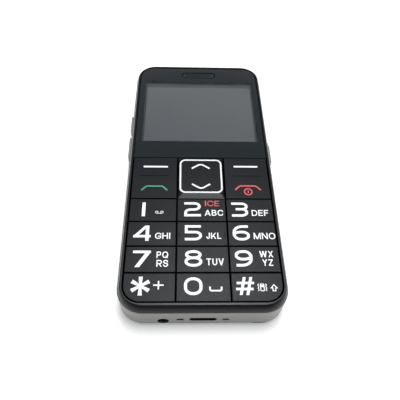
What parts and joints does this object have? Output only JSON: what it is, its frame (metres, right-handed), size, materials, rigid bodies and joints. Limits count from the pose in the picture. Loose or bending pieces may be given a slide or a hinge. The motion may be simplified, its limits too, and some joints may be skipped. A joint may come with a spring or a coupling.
{
  "type": "feature phone",
  "caption": "Candybar feature phone with large keys, wide display window, raised navigation key, side keys and a clip-on battery cover.",
  "frame": {"origin": "middle of the flat back, at the bottom centre of the bounding box", "axes": "+Z out of the face, +Y towards the earpiece end, +X to the right of the face"},
  "size_m": [0.0646, 0.1318, 0.0155],
  "materials": {
    "black_plastic": "satin moulded",
    "key_plastic": "satin moulded",
    "silver_plastic": "satin silver lacquer",
    "clear_acrylic": "polished",
    "mask_ink": "printed",
    "mesh_steel": "blackened",
    "ring_plastic": "painted white",
    "display_film": "satin film",
    "display_glass": "polished",
    "pressed_steel": "tinned",
    "circuit_board": "solder mask",
    "silicone_rubber": "matt",
    "dome_film": "film over steel domes",
    "battery_wrap": "film wrap",
    "gold_plate": "gold plated",
    "carrier_plastic": "moulded",
    "screw_steel": "blackened"
  },
  "bodies": {
    "phone": {"front_housing": "black_plastic", "slide_switch_body": "black_plastic", "volume_switches": "black_plastic", "audio_jack": "black_plastic", "battery_contacts": "black_plastic", "microphone": "black_plastic", "loudspeaker": "black_plastic", "display_backlight": "black_plastic", "rear_housing": "silver_plastic", "display_window": "clear_acrylic", "window_mask": "mask_ink", "earpiece_mesh": "mesh_steel", "display_polariser": "display_film", "display_panel": "display_glass", "display_frame": "pressed_steel", "shield_cans": "pressed_steel", "usb_connector": "pressed_steel", "sim_holder": "pressed_steel", "memory_card_holder": "pressed_steel", "vibration_motor": "pressed_steel", "earpiece_receiver": "pressed_steel", "main_board": "circuit_board", "keypad_mat": "silicone_rubber", "dome_sheet": "dome_film", "battery": "battery_wrap", "charging_contacts": "gold_plate", "antenna_carrier": "carrier_plastic", "housing_screws": "screw_steel"},
    "key_1": {"key_1": "key_plastic"},
    "key_2": {"key_2": "key_plastic"},
    "key_3": {"key_3": "key_plastic"},
    "key_4": {"key_4": "key_plastic"},
    "key_5": {"key_5": "key_plastic"},
    "key_6": {"key_6": "key_plastic"},
    "key_7": {"key_7": "key_plastic"},
    "key_8": {"key_8": "key_plastic"},
    "key_9": {"key_9": "key_plastic"},
    "key_star": {"key_star": "key_plastic"},
    "key_0": {"key_0": "key_plastic"},
    "key_hash": {"key_hash": "key_plastic"},
    "nav_key": {"nav_key": "key_plastic", "nav_key_ring": "ring_plastic"},
    "left_function_key": {"left_function_key": "key_plastic"},
    "right_function_key": {"right_function_key": "key_plastic"},
    "volume_key": {"volume_key": "silver_plastic"},
    "slide_switch": {"slide_switch_knob": "silver_plastic"},
    "battery_cover": {"battery_cover": "silver_plastic"}
  },
  "joints": [
    {"name": "key_1_press", "type": "slide", "parent": "phone", "child": "key_1", "axis": [0, 0, -1], "range_m": [0, 0.00035], "stiffness_N_per_m": 400},
    {"name": "key_2_press", "type": "slide", "parent": "phone", "child": "key_2", "axis": [0, 0, -1], "range_m": [0, 0.00035], "stiffness_N_per_m": 400},
    {"name": "key_3_press", "type": "slide", "parent": "phone", "child": "key_3", "axis": [0, 0, -1], "range_m": [0, 0.00035], "stiffness_N_per_m": 400},
    {"name": "key_4_press", "type": "slide", "parent": "phone", "child": "key_4", "axis": [0, 0, -1], "range_m": [0, 0.00035], "stiffness_N_per_m": 400},
    {"name": "key_5_press", "type": "slide", "parent": "phone", "child": "key_5", "axis": [0, 0, -1], "range_m": [0, 0.00035], "stiffness_N_per_m": 400},
    {"name": "key_6_press", "type": "slide", "parent": "phone", "child": "key_6", "axis": [0, 0, -1], "range_m": [0, 0.00035], "stiffness_N_per_m": 400},
    {"name": "key_7_press", "type": "slide", "parent": "phone", "child": "key_7", "axis": [0, 0, -1], "range_m": [0, 0.00035], "stiffness_N_per_m": 400},
    {"name": "key_8_press", "type": "slide", "parent": "phone", "child": "key_8", "axis": [0, 0, -1], "range_m": [0, 0.00035], "stiffness_N_per_m": 400},
    {"name": "key_9_press", "type": "slide", "parent": "phone", "child": "key_9", "axis": [0, 0, -1], "range_m": [0, 0.00035], "stiffness_N_per_m": 400},
    {"name": "key_star_press", "type": "slide", "parent": "phone", "child": "key_star", "axis": [0, 0, -1], "range_m": [0, 0.00035], "stiffness_N_per_m": 400},
    {"name": "key_0_press", "type": "slide", "parent": "phone", "child": "key_0", "axis": [0, 0, -1], "range_m": [0, 0.00035], "stiffness_N_per_m": 400},
    {"name": "key_hash_press", "type": "slide", "parent": "phone", "child": "key_hash", "axis": [0, 0, -1], "range_m": [0, 0.00035], "stiffness_N_per_m": 400},
    {"name": "left_function_key_rock", "type": "hinge", "parent": "phone", "child": "left_function_key", "pos_m": [-0.01921, -0.00808, 0.01145], "axis": [1, 0, 0], "range_deg": [-1.6, 1.6], "stiffness_Nm_per_rad": 0.4},
    {"name": "nav_key_rock", "type": "hinge", "parent": "phone", "child": "nav_key", "pos_m": [0, -0.00808, 0.01145], "axis": [1, 0, 0], "range_deg": [-1.6, 1.6], "stiffness_Nm_per_rad": 0.4},
    {"name": "right_function_key_rock", "type": "hinge", "parent": "phone", "child": "right_function_key", "pos_m": [0.01921, -0.00808, 0.01145], "axis": [1, 0, 0], "range_deg": [-1.6, 1.6], "stiffness_Nm_per_rad": 0.4},
    {"name": "volume_key_rock", "type": "hinge", "parent": "phone", "child": "volume_key", "pos_m": [-0.0291, 0.02073, 0.00717], "axis": [0, 0, 1], "range_deg": [-1.5, 1.5], "stiffness_Nm_per_rad": 0.3},
    {"name": "slide_switch_slide", "type": "slide", "parent": "phone", "child": "slide_switch", "axis": [0, 1, 0], "range_m": [0, 0.0025]},
    {"name": "battery_cover_pull", "type": "slide", "parent": "phone", "child": "battery_cover", "axis": [0, 0, -1], "range_m": [0, 0.006]}
  ]
}
